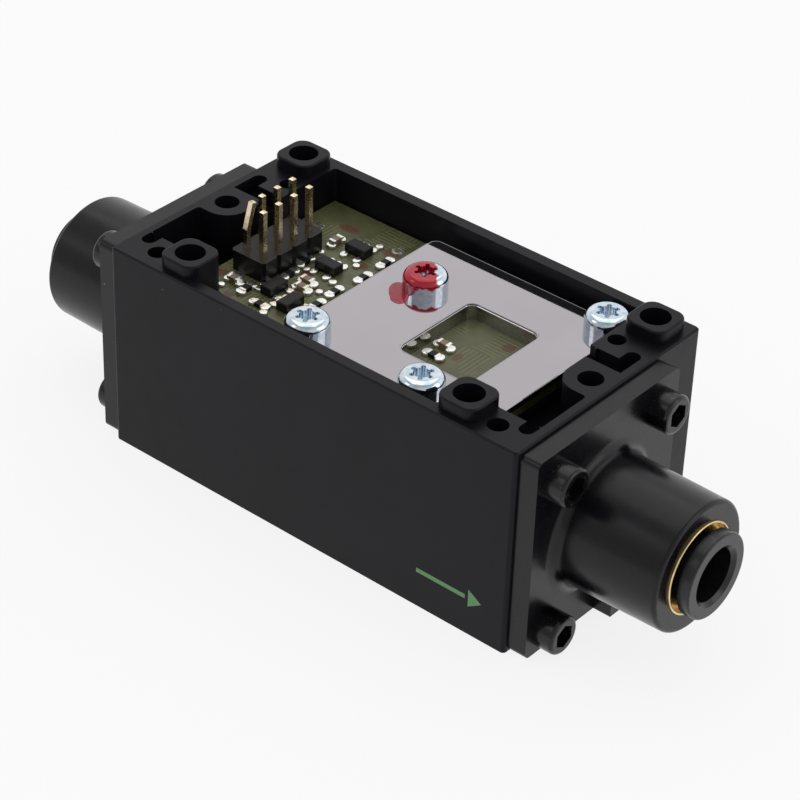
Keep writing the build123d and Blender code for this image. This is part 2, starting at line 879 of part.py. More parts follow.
def package_leads():
    """Flat leads: three on one long side of each package, two on the other."""
    length, width, _ = package_size
    lead_width, lead_reach, lead_height = package_lead
    y = (width + lead_reach) / 2
    pitch = length / 3
    spots = [(-pitch, y), (0, y), (pitch, y), (-pitch, -y), (pitch, -y)]
    leads = []
    for spot in package_spots:
        for x, side in spots:
            lead = brick(lead_width, lead_reach, lead_height, x, side)
            leads.append(on_board(spot, lead))
    return leads


def chip_bodies(spots, size):
    """Middle parts of chip capacitors or resistors."""
    length, width, height = size
    return [on_board(spot, brick(length - 2 * cap_length, width, height)) for spot in spots]


def chip_caps():
    """Tinned end caps of every chip capacitor and resistor."""
    caps = []
    for spots, size in ((capacitor_spots, capacitor_size), (resistor_spots, resistor_size)):
        length, width, height = size
        x = (length - cap_length) / 2
        for spot in spots:
            for side in (-1, 1):
                caps.append(on_board(spot, brick(cap_length, width, height, side * x)))
    return caps


def save(name, shape):
    """Writes one part, or a group of separate solids, under its node's name."""
    group = shape if isinstance(shape, list) else [shape]
    solids = [solid for item in group for solid in item.solids()]
    whole = solids[0] if len(solids) == 1 else Compound(children=solids)
    export_step(whole, os.path.join("parts", name + ".step"))


def save_both_ports(name, shape):
    """Writes a piece of the outlet port, and its mirror image for the inlet port."""
    group = shape if isinstance(shape, list) else [shape]
    save("outlet_" + name, group)
    save("inlet_" + name, [mirror(item, about=Plane.YZ) for item in group])


os.makedirs("parts", exist_ok=True)
save("housing", housing())
save_both_ports("port", port())
save_both_ports("port_seal", port_seal())
save_both_ports("tube_seal", tube_seal())
save_both_ports("brass_sleeve", brass_sleeve())
save_both_ports("grip_ring", grip_ring())
save_both_ports("release_collet", release_collet())
save_both_ports("flange_screws", flange_screws())
save("flow_element", flow_element())
save("inlet_screen", screen(-1))
save("outlet_screen", screen(1))
save("inlet_spacer", spacer(-1))
save("outlet_spacer", spacer(1))
save("sensor_gasket", sensor_gasket())
save("sensor_chip", sensor_chip())
save("circuit_board", circuit_board())
save("spacer_frame", spacer_frame())
save("clamp_plate", clamp_plate())
save("plate_screws", plate_screws())
save("header_body", header_body())
save("header_pins", header_pins())
save("package_bodies", package_bodies())
save("package_leads", package_leads())
save("chip_capacitors", chip_bodies(capacitor_spots, capacitor_size))
save("chip_resistors", chip_bodies(resistor_spots, resistor_size))
save("chip_caps", chip_caps())
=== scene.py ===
"""Gas mass flow meter with its lid off: finishes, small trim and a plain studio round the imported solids."""

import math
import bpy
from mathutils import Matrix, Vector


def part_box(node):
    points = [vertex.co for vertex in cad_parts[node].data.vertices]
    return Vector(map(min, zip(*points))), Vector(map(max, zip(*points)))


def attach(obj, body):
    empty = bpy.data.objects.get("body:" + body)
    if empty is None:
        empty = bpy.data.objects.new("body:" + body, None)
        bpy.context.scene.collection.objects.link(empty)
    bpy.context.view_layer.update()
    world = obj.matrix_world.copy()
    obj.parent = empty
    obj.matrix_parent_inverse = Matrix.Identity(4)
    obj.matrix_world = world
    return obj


bl_info = {
    "name": "Gas mass flow meter",
    "version": (1, 0, 0),
    "blender": (4, 5, 0),
    "location": "3D View > Sidebar > Flow meter",
    "description": "Dresses an open gas mass flow meter and sets up a plain studio round it",
    "category": "Object",
}

import bpy
from mathutils import Matrix, Vector

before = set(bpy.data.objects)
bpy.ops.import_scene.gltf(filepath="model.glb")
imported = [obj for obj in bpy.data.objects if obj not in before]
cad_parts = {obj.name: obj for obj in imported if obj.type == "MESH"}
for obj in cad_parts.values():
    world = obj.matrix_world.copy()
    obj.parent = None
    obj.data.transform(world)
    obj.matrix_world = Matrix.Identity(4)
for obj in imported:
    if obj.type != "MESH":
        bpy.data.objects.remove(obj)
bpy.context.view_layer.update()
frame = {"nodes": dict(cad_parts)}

MM = 0.001
BODY = "meter"
BOARD_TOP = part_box("circuit_board")[1].z
PLATE_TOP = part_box("clamp_plate")[1].z
FRONT_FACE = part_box("housing")[0].y

# Small parts on the board, in millimetres: middle x, middle y, and the turn about +Z in degrees
PACKAGES = [(-12.2, 7.1, 0), (-12.3, 2.0, 0), (-13.9, -5.4, 90), (-10.4, -6.6, 90)]
CAPACITORS = [(-15.5, 6.9, 90), (-12.2, -1.7, 0), (-11.7, -3.2, 0), (-18.4, -7.1, 0), (7.4, -1.2, 0)]
RESISTORS = [
    (-15.3, 1.3, 90),
    (-8.4, 7.3, 90),
    (-8.2, 3.2, 90),
    (-8.6, -1.2, 90),
    (-8.3, -4.6, 90),
    (-14.8, -1.9, 90),
    (-16.3, -7.4, 90),
    (-13.0, -8.8, 0),
    (7.6, -3.3, 0),
]
# Middles of a package's leads from its own middle, and of the solder past a lead's middle
PACKAGE_LEADS = [(-0.97, 1.15), (0, 1.15), (0.97, 1.15), (-0.97, -1.15), (0.97, -1.15)]
LEAD_TOE = 0.3
# From a chip's middle to the middle of the solder at its end
CHIP_REACH = 0.9
# How far a joint reaches into the board
SOLDER_SINK = 0.01
# Solder on test points, with no part on it: x, y and size against a part's joint
TEST_POINTS = [
    (-14.2, 0.3, 0.8),
    (-10.1, 0.2, 0.9),
    (-10.5, 4.7, 0.8),
    (-11.2, 9.6, 0.9),
    (-15.4, 4.2, 0.7),
    (-9.9, -2.3, 0.8),
    (-11.6, -9.7, 0.9),
    (-19.0, -8.6, 0.8),
]
# Plated pads round the board's empty holes: middle x, middle y and radius, and how thick they are
ROUND_PADS = [(-19.2, -6.1, 1.0), (-9.2, 10.6, 0.8), (-19.6, 8.3, 0.8)]
PAD_THICKNESS = 0.05
# Brown stains on the board: middle x, middle y, and half their width along X and along Y
STAINS = [
    (-20.9, -6.5, 0.9, 0.7),
    (-13.7, -0.4, 0.8, 0.6),
    (-17.2, -9.3, 0.7, 0.5),
    (-16.5, 10.4, 1.4, 0.7),
    (-9.4, 9.6, 1.1, 0.9),
    (-10.0, 5.2, 0.9, 0.6),
    (-12.8, 3.7, 0.7, 0.4),
    (-10.2, -2.0, 0.9, 0.6),
    (9.6, -1.6, 0.5, 0.8),
    (9.0, -3.6, 0.4, 0.4),
    (12.6, 3.6, 0.8, 0.8),
]
# Board tracks: distance between two, and how wide a bundle of them is
TRACK_PITCH = 0.55
BUNDLE_SIZE = 3.2

# The screw whose head carries locking varnish, and the direction away from where it was dabbed on
VARNISHED_SCREW = (-0.1, 4.4)
DAB_AWAY = (0.76, 0.65, 0.0)
# The drop that ran onto the plate: its middle from the screw's, its turn, its width against its length,
# its thickness, and how far its widest level is above the plate
DROP_SHIFT = (-1.45, -2.8)
DROP_TURN = math.radians(-45)
DROP_WIDTH_SHARE = 0.56
DROP_THICKNESS = 0.09
DROP_LIFT = 0.01

# Tip of the printed flow arrow on the front face, x and z, and its head's length against its height
ARROW_TIP = (25.65, 4.85)
HEAD_SHARE = 0.78

# Distance between two places on a black moulding that can hold a speck of dust
DUST_SPACING = 1.1
ACETAL_IOR = 1.48
# The range that a noise pattern mostly keeps to, and the range that it never leaves
NOISE_RANGE = (0.3, 0.7)
WHOLE_RANGE = (0.0, 1.0)

# Softboxes, in metres: place and width. They face a point in the middle of the meter
SOFTBOXES = {
    "top": ((-0.15, 0.2, 0.7), 0.7),
    "side": ((0.6, 0.25, 0.35), 0.4),
    "front": ((-0.4, -0.45, 0.5), 0.25),
}
LIGHT_TARGET = Vector((0, 0, 0.015))
# How much of the floor that is seen straight is backdrop white, and not paint
FLOOR_WHITE = 0.84
WHITE = (1, 1, 1, 1)


def linear(hex_colour):
    """Turns an sRGB hex colour into linear red, green, blue and alpha."""
    parts = [int(hex_colour[i : i + 2], 16) / 255 for i in (0, 2, 4)]
    flat = [c / 12.92 if c <= 0.04045 else ((c + 0.055) / 1.055) ** 2.4 for c in parts]
    return (*flat, 1.0)


def colour(name, description, hex_colour):
    """A colour that the user can change."""
    return bpy.props.FloatVectorProperty(
        name=name,
        description=description,
        subtype="COLOR",
        size=4,
        min=0.0,
        max=1.0,
        default=linear(hex_colour),
    )


def length(name, description, millimetres):
    """A length that the user can change."""
    return bpy.props.FloatProperty(
        name=name,
        description=description,
        default=millimetres * MM,
        min=0.0,
        precision=5,
        unit="LENGTH",
        subtype="DISTANCE",
    )


def power(name, description, watts):
    """A lamp's power that the user can change."""
    return bpy.props.FloatProperty(
        name=name, description=description, default=watts, min=0.0, subtype="POWER"
    )


def add_node(tree, kind, inputs=None, **settings):
    """Adds a node with its settings. An input takes a value, a socket, or a node for its main output."""
    node = tree.nodes.new(kind)
    for name, value in settings.items():
        setattr(node, name, value)
    for slot, source in (inputs or {}).items():
        if isinstance(slot, str):
            target = next(socket for socket in node.inputs if socket.name == slot and socket.enabled)
        else:
            target = node.inputs[slot]
        if isinstance(source, bpy.types.Node):
            source = next(socket for socket in source.outputs if socket.enabled)
        if isinstance(source, bpy.types.NodeSocket):
            tree.links.new(source, target)
        else:
            target.default_value = source
    return node


def new_material(name):
    """An empty node material of this name."""
    material = bpy.data.materials.get(name) or bpy.data.materials.new(name)
    material.use_nodes = True
    material.node_tree.nodes.clear()
    return material, material.node_tree


def finish_material(tree, inputs):
    """Closes a material: its shader with these inputs, and its output."""
    shader = add_node(tree, "ShaderNodeBsdfPrincipled", inputs)
    add_node(tree, "ShaderNodeOutputMaterial", {"Surface": shader})


def shade(tint, share):
    """A colour made darker or lighter by a share."""
    return [part * share for part in tint[:3]] + [1.0]


def wander(tree, millimetres, low, high, detail=2.0, window=NOISE_RANGE):
    """A value that wanders between two limits, in blotches about this many millimetres across."""
    spot = add_node(tree, "ShaderNodeTexCoord").outputs["Object"]
    noise = add_node(
        tree, "ShaderNodeTexNoise", {"Vector": spot, "Scale": 1 / (millimetres * MM), "Detail": detail}
    )
    limits = {"From Min": window[0], "From Max": window[1], "To Min": low, "To Max": high}
    return add_node(tree, "ShaderNodeMapRange", {"Value": noise, **limits})


def uneven(tree, millimetres, height, detail=2.0, strength=1.0):
    """A normal for a surface uneven by a height, in blotches of a size, both in millimetres."""
    swell = wander(tree, millimetres, 0.0, 1.0, detail, WHOLE_RANGE)
    return add_node(tree, "ShaderNodeBump", {"Height": swell, "Strength": strength, "Distance": height * MM})


def mottled(tree, millimetres, first, second, detail=2.0, window=WHOLE_RANGE, most=1.0):
    """Two colours in blotches of this size; most is the largest share that the second one gets."""
    share = wander(tree, millimetres, 0.0, most, detail, window)
    return add_node(tree, "ShaderNodeMix", {"Factor": share, "A": first, "B": second}, data_type="RGBA")


def dusted(tree, base, dust, share):
    """A colour with sparse pale specks of dust on it, each about a tenth of a millimetre across."""
    spot = add_node(tree, "ShaderNodeTexCoord").outputs["Object"]
    cells = add_node(tree, "ShaderNodeTexVoronoi", {"Vector": spot, "Scale": 1 / (DUST_SPACING * MM)})
    distance = cells.outputs["Distance"]
    near = add_node(
        tree,
        "ShaderNodeMapRange",
        {"Value": distance, "From Min": 0.05, "From Max": 0.11, "To Min": 1.0, "To Max": 0.0},
    )
    pick = add_node(tree, "ShaderNodeSeparateColor", {"Color": cells.outputs["Color"]}).outputs["Red"]
    # only the cells with the highest picks hold a speck
    rare = add_node(
        tree, "ShaderNodeMapRange", {"Value": pick, "From Min": 0.99 - share, "From Max": 1.0 - share}
    )
    speck = add_node(tree, "ShaderNodeMath", {0: near, 1: rare}, operation="MULTIPLY")
    return add_node(tree, "ShaderNodeMix", {"Factor": speck, "A": base, "B": dust}, data_type="RGBA")


def moulded_body_plastic(colours):
    """Glass-filled nylon, spark-eroded mould: near black, satin, with a fine even texture."""
    material, tree = new_material("moulded glass-filled nylon")
    tint = mottled(tree, 9.0, shade(colours.body, 0.8), colours.body, 4.0, (0.35, 0.65))
    finish_material(
        tree,
        {
            "Base Color": dusted(tree, tint, colours.dust, 0.004),
            "Roughness": wander(tree, 2.5, 0.3, 0.4, 5.0),
            # the real texture is finer than a pixel, so it is drawn at about 0.12 mm
            "Normal": uneven(tree, 0.12, 0.004, 3.0),
            "Specular IOR Level": 0.15,
        },
    )
    return material


def polished_port_plastic(colours):
    """Acetal from a polished mould: black, half gloss, with faint flow marks and a little dust."""
    material, tree = new_material("polished black acetal")
    tint = mottled(tree, 4.0, shade(colours.port, 0.75), colours.port, 3.0, NOISE_RANGE)
    finish_material(
        tree,
        {
            "Base Color": dusted(tree, tint, colours.dust, 0.012),
            "Roughness": wander(tree, 1.8, 0.2, 0.3, 4.0),
            "Normal": uneven(tree, 2.2, 0.008, 2.0, 0.5),
            "IOR": ACETAL_IOR,
            "Specular IOR Level": 0.32,
        },
    )
    return material


def collet_plastic(colours):
    """Acetal copolymer: near black, half gloss, slightly waxy."""
    material, tree = new_material("satin grey acetal")
    finish_material(
        tree,
        {
            "Base Color": mottled(tree, 1.2, shade(colours.collet, 0.7), colours.collet, 3.0, NOISE_RANGE),
            "Roughness": wander(tree, 0.7, 0.18, 0.3, 3.0),
            "Normal": uneven(tree, 0.25, 0.004),
            "IOR": ACETAL_IOR,
            "Specular IOR Level": 0.45,
        },
    )
    return material


def rubber():
    """Moulded nitrile rubber: black, matt, with a faint bloom."""
    material, tree = new_material("moulded nitrile rubber")
    finish_material(
        tree,
        {
            "Base Color": mottled(
                tree, 0.9, linear("121213"), linear("2A2A2B"), 4.0, window=(0.45, 0.7), most=0.35
            ),
            "Roughness": wander(tree, 0.4, 0.5, 0.7),
            "IOR": 1.52,
            "Specular IOR Level": 0.35,
        },
    )
    return material


def turned_brass(colours):
    """Free-cutting brass, turned: rings of fine tool marks round the bore, slightly tarnished."""
    material, tree = new_material("turned brass")
    spot = add_node(tree, "ShaderNodeTexCoord").outputs["Object"]
    along = add_node(tree, "ShaderNodeSeparateXYZ", {"Vector": spot}).outputs["X"]
    # tool marks are about 0.03 mm apart, drawn at 0.1 mm
    marks = add_node(tree, "ShaderNodeMath", {0: along, 1: 2 * math.pi / (0.1 * MM)}, operation="MULTIPLY")
    rings = add_node(tree, "ShaderNodeMath", {0: marks}, operation="SINE")
    finish_material(
        tree,
        {
            "Base Color": mottled(
                tree, 1.5, colours.brass, linear("9A7433"), 4.0, window=(0.4, 0.75), most=0.5
            ),
            "Normal": add_node(
                tree, "ShaderNodeBump", {"Height": rings, "Strength": 0.4, "Distance": 0.002 * MM}
            ),
            "Roughness": wander(tree, 0.8, 0.1, 0.22, 3.0),
            "Metallic": 1.0,
        },
    )
    return material


def spring_steel():
    """Stainless spring strip: grey, smooth, lightly brushed."""
    material, tree = new_material("stainless spring strip")
    finish_material(
        tree,
        {
            "Base Color": mottled(tree, 0.8, linear("B4B2AE"), linear("8F8D89")),
            "Roughness": wander(tree, 0.3, 0.22, 0.38, 3.0),
            "Metallic": 1.0,
        },
    )
    return material


def black_oxide(colours):
    """Blackened steel screw: dark, half gloss, with a thin oil film and rubbed spots."""
    material, tree = new_material("black oxide on steel")
    finish_material(
        tree,
        {
            "Base Color": mottled(
                tree, 0.5, colours.black_screw, linear("5A5857"), 5.0, window=(0.62, 0.74), most=0.6
            ),
            "Roughness": wander(tree, 0.35, 0.16, 0.28, 3.0),
            "Normal": uneven(tree, 0.3, 0.004, 3.0),
            "Metallic": 0.25,
        },
    )
    return material


def varnish_cover(tree):
    """1 where locking varnish covers one screw's head, and 0 elsewhere."""
    spot = add_node(tree, "ShaderNodeTexCoord").outputs["Object"]
    middle = (VARNISHED_SCREW[0] * MM, VARNISHED_SCREW[1] * MM, PLATE_TOP)
    offset = add_node(tree, "ShaderNodeVectorMath", {0: spot, 1: middle}, operation="SUBTRACT")
    across = add_node(tree, "ShaderNodeVectorMath", {0: offset, 1: DAB_AWAY}, operation="DOT_PRODUCT")
    height = add_node(tree, "ShaderNodeSeparateXYZ", {"Vector": offset}).outputs["Z"]
    level = add_node(tree, "ShaderNodeVectorMath", {0: offset, 1: (1, 1, 0)}, operation="MULTIPLY")
    reach = add_node(tree, "ShaderNodeVectorMath", {0: level}, operation="LENGTH")
    ragged = wander(tree, 1.3, -1.0 * MM, 1.0 * MM, window=WHOLE_RANGE)
    edge = add_node(tree, "ShaderNodeMath", {0: across, 1: ragged}, operation="ADD")
    run = add_node(tree, "ShaderNodeMath", {0: height, 1: ragged}, operation="ADD")
    # the crown is covered but for its far third, and down to a ragged line on its side
    near = add_node(
        tree,
        "ShaderNodeMapRange",
        {"Value": edge, "From Min": 1.1 * MM, "From Max": 1.3 * MM, "To Min": 1.0, "To Max": 0.0},
    )
    high = add_node(
        tree, "ShaderNodeMapRange", {"Value": run, "From Min": 1.0 * MM, "From Max": 1.2 * MM}
    )
    crown = add_node(tree, "ShaderNodeMath", {0: near, 1: high}, operation="MULTIPLY")
    # on the side that the varnish came from it ran down to the plate
    flank = add_node(
        tree,
        "ShaderNodeMapRange",
        {"Value": across, "From Min": -2.3 * MM, "From Max": -2.1 * MM, "To Min": 1.0, "To Max": 0.0},
    )
    coat = add_node(tree, "ShaderNodeMath", {0: crown, 1: flank}, operation="MAXIMUM")
    here = add_node(
        tree,
        "ShaderNodeMapRange",
        {"Value": reach, "From Min": 3.2 * MM, "From Max": 3.3 * MM, "To Min": 1.0, "To Max": 0.0},
    )
    return add_node(tree, "ShaderNodeMath", {0: coat, 1: here}, operation="MULTIPLY")


def zinc_plate(colours):
    """Zinc plate with a clear chromate: bright blue-white steel; one head carries red varnish."""
    material, tree = new_material("bright zinc plate")
    metal = mottled(tree, 0.6, colours.zinc, linear("B2CBDF"), 4.0, (0.35, 0.7))
    red = varnish_cover(tree)
    finish_material(
        tree,
        {
            "Base Color": add_node(
                tree, "ShaderNodeMix", {"Factor": red, "A": metal, "B": colours.varnish}, data_type="RGBA"
            ),
            "Metallic": add_node(tree, "ShaderNodeMapRange", {"Value": red, "To Min": 1.0, "To Max": 0.35}),
            "Roughness": wander(tree, 0.25, 0.08, 0.16, 3.0),
            "Normal": uneven(tree, 0.5, 0.004),
            "Coat Weight": add_node(tree, "ShaderNodeMapRange", {"Value": red, "To Max": 0.4}),
            "Coat Roughness": 0.03,
        },
    )
    return material


def mirror_steel(colours):
    """Stainless sheet, buffed: a mirror with a very slight ripple and a few hair scratches."""
    material, tree = new_material("buffed stainless sheet")
    spot = add_node(tree, "ShaderNodeTexCoord").outputs["Object"]
    drawn_out = add_node(
        tree,
        "ShaderNodeMapping",
        {"Vector": spot, "Scale": (1.0, 9.0, 1.0), "Rotation": (0.0, 0.0, math.radians(24))},
    )
    hairs = add_node(
        tree, "ShaderNodeTexNoise", {"Vector": drawn_out, "Scale": 1 / (1.6 * MM), "Detail": 4.0}
    )
    finish_material(
        tree,
        {
            "Base Color": mottled(tree, 11.0, shade(colours.plate, 0.94), colours.plate, 3.0, NOISE_RANGE),
            "Roughness": add_node(
                tree,
                "ShaderNodeMapRange",
                {"Value": hairs, "From Min": 0.68, "From Max": 0.74, "To Min": 0.05, "To Max": 0.16},
            ),
            "Normal": uneven(tree, 6.0, 0.004, 1.0, 0.3),
            "Metallic": 1.0,
        },
    )
    return material


def polished_steel_walls(colours):
    """The inner walls of the plate's window: stainless again, a little duller than the top."""
    material, tree = new_material("polished stainless edge")
    finish_material(
        tree,
        {
            "Base Color": mottled(tree, 2.0, colours.plate, colours.frame, 3.0),
            "Roughness": wander(tree, 0.8, 0.08, 0.18, 3.0),
            "Metallic": 1.0,
        },
    )
    return material


def board_tracks(tree, spot):
    """1 on a track and 0 beside it. Tracks run in bundles, each bundle along X or along Y."""
    bundles = add_node(
        tree,
        "ShaderNodeTexVoronoi",
        {"Vector": spot, "Scale": 1 / (BUNDLE_SIZE * MM)},
        distance="CHEBYCHEV",
        voronoi_dimensions="2D",
    )
    pick = add_node(tree, "ShaderNodeSeparateColor", {"Color": bundles.outputs["Color"]})
    axes = add_node(tree, "ShaderNodeSeparateXYZ", {"Vector": spot})
    turn = add_node(
        tree, "ShaderNodeMapRange", {"Value": pick.outputs["Red"], "From Min": 0.49, "From Max": 0.51}
    )
    lane = add_node(tree, "ShaderNodeMix", {"Factor": turn, "A": axes.outputs["X"], "B": axes.outputs["Y"]})
    pitch = 2 * math.pi / (TRACK_PITCH * MM)
    phase = add_node(tree, "ShaderNodeMath", {0: lane, 1: pitch}, operation="MULTIPLY")
    wave = add_node(tree, "ShaderNodeMath", {0: phase}, operation="SINE")
    track = add_node(tree, "ShaderNodeMapRange", {"Value": wave, "From Min": 0.1, "From Max": 0.5})
    # about half the bundles are left out
    routed = add_node(
        tree, "ShaderNodeMapRange", {"Value": pick.outputs["Green"], "From Min": 0.5, "From Max": 0.52}
    )
    return add_node(tree, "ShaderNodeMath", {0: track, 1: routed}, operation="MULTIPLY")


def board_stains(tree, spot):
    """How strongly the brown stains cover the board, from 0 to 0.85."""
    cover = None
    for x, y, across, along in STAINS:
        middle = (x * MM, y * MM, BOARD_TOP)
        size = (across * MM, along * MM, 1.0)
        offset = add_node(tree, "ShaderNodeVectorMath", {0: spot, 1: middle}, operation="SUBTRACT")
        scaled = add_node(tree, "ShaderNodeVectorMath", {0: offset, 1: size}, operation="DIVIDE")
        reach = add_node(tree, "ShaderNodeVectorMath", {0: scaled}, operation="LENGTH")
        stain = add_node(
            tree,
            "ShaderNodeMapRange",
            {"Value": reach, "From Min": 0.75, "From Max": 1.2, "To Min": 0.85, "To Max": 0.0},
        )
        if cover is not None:
            stain = add_node(tree, "ShaderNodeMath", {0: cover, 1: stain}, operation="MAXIMUM")
        cover = stain
    return cover


def solder_mask(colours):
    """Olive solder mask over copper: semi-gloss, with fine tracks and brown stains of flux."""
    material, tree = new_material("olive solder mask")
    spot = add_node(tree, "ShaderNodeTexCoord").outputs["Object"]
    track = board_tracks(tree, spot)
    mask = mottled(tree, 3.0, colours.mask, shade(colours.mask, 0.7), 4.0, (0.35, 0.65))
    over_track = {"Factor": track, "A": mask, "B": shade(colours.mask, 1.3)}
    tint = add_node(tree, "ShaderNodeMix", over_track, data_type="RGBA")
    stained = {"Factor": board_stains(tree, spot), "A": tint, "B": colours.copper}
    finish_material(
        tree,
        {
            "Base Color": add_node(tree, "ShaderNodeMix", stained, data_type="RGBA"),
            "Roughness": wander(tree, 0.4, 0.25, 0.42, 3.0),
            "Normal": add_node(
                tree, "ShaderNodeBump", {"Height": track, "Strength": 1.0, "Distance": 0.02 * MM}
            ),
            "IOR": 1.52,
            "Specular IOR Level": 0.4,
        },
    )
    return material


def gold_plate(colours):
    """Gold flash over nickel: pale gold, with duller patches where it has worn."""
    material, tree = new_material("gold flash on pins")
    finish_material(
        tree,
        {
            "Base Color": mottled(
                tree, 1.6, colours.gold, linear("A58E63"), window=(0.5, 0.75), most=0.45
            ),
            "Roughness": wander(tree, 0.3, 0.16, 0.3, 3.0),
            "Normal": uneven(tree, 1.2, 0.004, 1.0),
            "Metallic": 1.0,
        },
    )
    return material


def moulding_compound(name, hex_colour, low, high):
    """Filled epoxy or polyester moulding: black, matt, evenly grainy."""
    material, tree = new_material(name)
    tint = linear(hex_colour)
    finish_material(
        tree,
        {
            "Base Color": mottled(tree, 0.35, shade(tint, 0.7), tint, 3.0),
            "Roughness": wander(tree, 0.2, low, high),
            "Normal": uneven(tree, 0.1, 0.006),
            "IOR": 1.55,
            "Specular IOR Level": 0.22,
        },
    )
    return material


def fired_ceramic(colours):
    """Barium titanate chip capacitor: tan, dense, slightly glossy."""
    material, tree = new_material("fired ceramic")
    finish_material(
        tree,
        {
            "Base Color": mottled(tree, 0.5, shade(colours.ceramic, 0.8), colours.ceramic, 3.0),
            "Roughness": wander(tree, 0.3, 0.3, 0.45),
            "IOR": 1.7,
        },
    )
    return material


def bright_solder(colours):
    """Reflowed solder and tinned ends: silver-white, wetted, almost a mirror."""
    material, tree = new_material("reflowed solder")
    finish_material(
        tree,
        {
            "Base Color": mottled(tree, 0.4, colours.solder, linear("D3D2CB"), 3.0, (0.5, 0.7)),
            "Roughness": wander(tree, 0.3, 0.14, 0.3, 3.0),
            "Normal": uneven(tree, 0.4, 0.02),
            "Metallic": 1.0,
        },
    )
    return material


def screen_steel():
    """Etched and passivated stainless: matt grey."""
    material, tree = new_material("passivated stainless")
    finish_material(
        tree,
        {
            "Base Color": mottled(tree, 0.6, linear("A3A19C"), linear("86847F"), 3.0),
            "Roughness": wander(tree, 0.3, 0.3, 0.45),
            "Metallic": 1.0,
        },
    )
    return material


def printing_ink(colours):
    """Pad-printing ink: flat green, slightly speckled where the texture breaks it."""
    material, tree = new_material("pad-printing ink")
    finish_material(
        tree,
        {
            "Base Color": mottled(
                tree, 0.22, colours.ink, linear("2C3A2C"), 3.0, window=(0.56, 0.72), most=0.6
            ),
            "Roughness": wander(tree, 0.4, 0.45, 0.6),
            "Specular IOR Level": 0.3,
        },
    )
    return material


def red_varnish(colours):
    """Screw-locking varnish: deep red, glossy, a little uneven in colour."""
    material, tree = new_material("screw-locking varnish")
    finish_material(
        tree,
        {
            "Base Color": mottled(tree, 0.8, colours.varnish, linear("7C0F2A")),
            "Roughness": wander(tree, 0.5, 0.1, 0.2),
            "Specular IOR Level": 0.6,
        },
    )
    return material


def paint_node(name, material):
    """Gives every face of a CAD node one material."""
    node = frame["nodes"][name]
    if not node.material_slots:
        node.data.materials.append(material)
    for slot in node.material_slots:
        slot.material = material


def clear_selection():
    """Deselects everything, so that an operator acts on new work only."""
    if bpy.context.object and bpy.context.object.mode != "OBJECT":
        bpy.ops.object.mode_set(mode="OBJECT")
    bpy.ops.object.select_all(action="DESELECT")


def select_faces(test):
    """In edit mode, selects the active mesh's faces whose middle and normal pass a test."""
    bpy.ops.mesh.select_all(action="DESELECT")
    bpy.ops.object.mode_set(mode="OBJECT")
    mesh = bpy.context.object.data
    for face in mesh.polygons:
        face.select = bool(test(face.center, face.normal))
    bpy.ops.object.mode_set(mode="EDIT")


def apply_place(piece):
    """Moves an object's place, turn and size into its mesh."""
    clear_selection()
    piece.select_set(True)
    bpy.context.view_layer.objects.active = piece
    bpy.ops.object.transform_apply(location=True, rotation=True, scale=True)


def copy_to(pattern, spots):
    """Copies a modelled shape, each copy with its own mesh, to a list of places."""
    made = []
    for x, y, z, turn, scale in spots:
        copy = pattern.copy()
        copy.data = pattern.data.copy()
        bpy.context.collection.objects.link(copy)
        stand = Matrix.Translation((x, y, z)) @ Matrix.Rotation(turn, 4, "Z")
        copy.matrix_world = stand @ Matrix.Diagonal((*scale, 1))
        made.append(copy)
    bpy.data.objects.remove(pattern)
    return made


def joined(pieces, name):
    """Makes several meshes one, with its place in its mesh."""
    clear_selection()
    for piece in pieces:
        piece.select_set(True)
    bpy.context.view_layer.objects.active = pieces[0]
    bpy.ops.object.transform_apply(location=True, rotation=True, scale=True)
    if len(pieces) > 1:
        bpy.ops.object.join()
    piece = bpy.context.object
    piece.name = name
    return piece


def outward(piece):
    """Merges doubles and points every face outwards."""
    clear_selection()
    piece.select_set(True)
    bpy.context.view_layer.objects.active = piece
    bpy.ops.object.mode_set(mode="EDIT")
    bpy.ops.mesh.select_all(action="SELECT")
    bpy.ops.mesh.remove_doubles(threshold=1e-7)
    bpy.ops.mesh.normals_make_consistent(inside=False)
    bpy.ops.object.mode_set(mode="OBJECT")


def finish_piece(piece, material):
    """Gives a finished piece its material and its body."""
    piece.data.materials.clear()
    piece.data.materials.append(material)
    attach(piece, BODY)


class MeterColours(bpy.types.PropertyGroup):
    """Colours of the meter's finishes."""

    body: colour("Body", "Moulded body", "131318")
    port: colour("Ports", "Port fittings", "0F0F13")
    collet: colour("Collets", "Release collets", "17171A")
    dust: colour("Dust", "Specks of dust on the black mouldings", "8F8F92")
    brass: colour("Brass", "Sleeves in the ports", "EBD09A")
    black_screw: colour("Black screws", "Flange screws", "121214")
    zinc: colour("Zinc", "Plate screws", "E2E5E8")
    plate: colour("Plate", "Clamp plate", "B2AEB2")
    frame: colour("Plate edge", "Walls of the window", "B9B8AC")
    mask: colour("Solder mask", "Circuit board", "5A5C3C")
    copper: colour("Copper", "Brown stains on the board", "57331F")
    gold: colour("Gold", "Header pins", "F0DDBE")
    ceramic: colour("Ceramic", "Chip capacitors", "76614A")
    solder: colour("Solder", "Tinned ends and solder joints", "F3F3EF")
    ink: colour("Ink", "Printed flow arrow", "6E9E6C")
    varnish: colour("Varnish", "Locking varnish on one screw", "AC0A28")
    floor: colour("Floor", "Studio floor", "F4F4F4")


